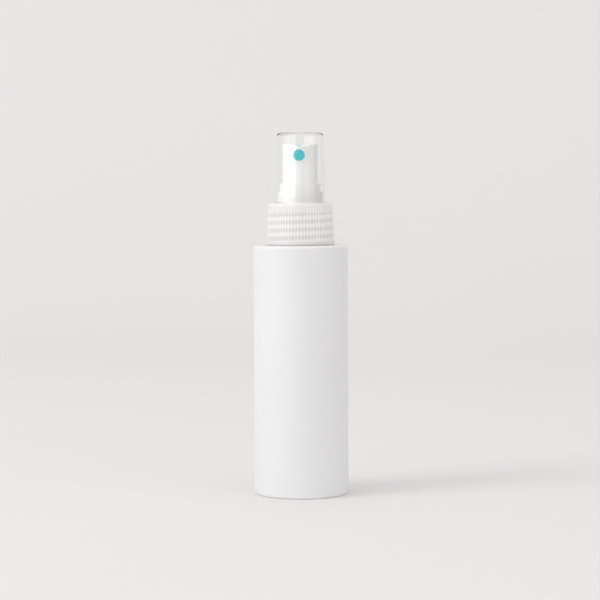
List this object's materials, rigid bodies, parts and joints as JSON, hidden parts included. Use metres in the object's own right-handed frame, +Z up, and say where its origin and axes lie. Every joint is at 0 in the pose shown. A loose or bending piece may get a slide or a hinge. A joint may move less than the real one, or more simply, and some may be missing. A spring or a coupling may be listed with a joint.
{
  "type": "spray bottle",
  "caption": "Round white cylinder bottle with a ribbed screw closure, a finger-pressed fine-mist pump with teal nozzle and a clear overcap, for cleaners and room sprays.",
  "frame": {"origin": "middle of the base, on the surface that the bottle stands on", "axes": "+Z up along the bottle's axis, nozzle facing -Y, +X to the right seen from the nozzle's side"},
  "size_m": [0.039, 0.039, 0.1496],
  "materials": {
    "bottle_plastic": "satin white polyethylene, blow moulded",
    "natural_plastic": "translucent natural polypropylene, satin",
    "clear_plastic": "clear glossy polypropylene",
    "teal_plastic": "opaque teal acetal, satin",
    "gasket_foam": "soft white foam",
    "seal_rubber": "soft black nitrile",
    "pump_plastic": "white polypropylene",
    "piston_plastic": "white soft polyethylene",
    "spring_steel": "drawn stainless wire",
    "ball_steel": "polished stainless steel",
    "tube_plastic": "translucent polyethylene"
  },
  "bodies": {
    "bottle": {"bottle_body": "bottle_plastic"},
    "pump": {"neck_gasket": "gasket_foam", "pump_housing": "pump_plastic", "stem_gasket": "seal_rubber", "pump_turret": "natural_plastic", "ball_cage": "pump_plastic", "dip_tube": "tube_plastic", "return_spring": "spring_steel"},
    "closure": {"closure_cap": "natural_plastic"},
    "overcap": {"overcap": "clear_plastic"},
    "stem": {"stem": "pump_plastic", "valve_rod": "pump_plastic", "precompression_spring": "spring_steel"},
    "actuator": {"actuator_button": "natural_plastic", "nozzle_insert": "teal_plastic"},
    "piston": {"piston": "piston_plastic"},
    "inlet_ball": {"inlet_ball": "ball_steel"}
  },
  "joints": [
    {"name": "thread_rise", "type": "slide", "parent": "bottle", "child": "pump", "axis": [0, 0, 1], "range_m": [0, 0.00794]},
    {"name": "closure_turn", "type": "hinge", "parent": "pump", "child": "closure", "pos_m": [0, 0, 0.1115], "axis": [0, 0, 1], "range_deg": [0, 900]},
    {"name": "overcap_pull", "type": "slide", "parent": "closure", "child": "overcap", "axis": [0, 0, 1], "range_m": [0, 0.03]},
    {"name": "pump_stroke", "type": "slide", "parent": "pump", "child": "stem", "axis": [0, 0, -1], "range_m": [0, 0.0055], "stiffness_N_per_m": 450, "springref_m": -0.006, "deforming": ["return_spring"]},
    {"name": "actuator_swivel", "type": "hinge", "parent": "stem", "child": "actuator", "pos_m": [0, 0, 0.1315], "axis": [0, 0, 1], "continuous": true},
    {"name": "piston_slip", "type": "slide", "parent": "stem", "child": "piston", "axis": [0, 0, 1], "range_m": [0, 0.0008], "stiffness_N_per_m": 400, "springref_m": -0.002, "deforming": ["precompression_spring"]},
    {"name": "ball_lift", "type": "slide", "parent": "pump", "child": "inlet_ball", "axis": [0, 0, 1], "range_m": [0, 0.001]}
  ],
  "couplings": [
    {"joint": "thread_rise", "follows": "closure_turn", "m_per_rad": 0.00050532}
  ]
}
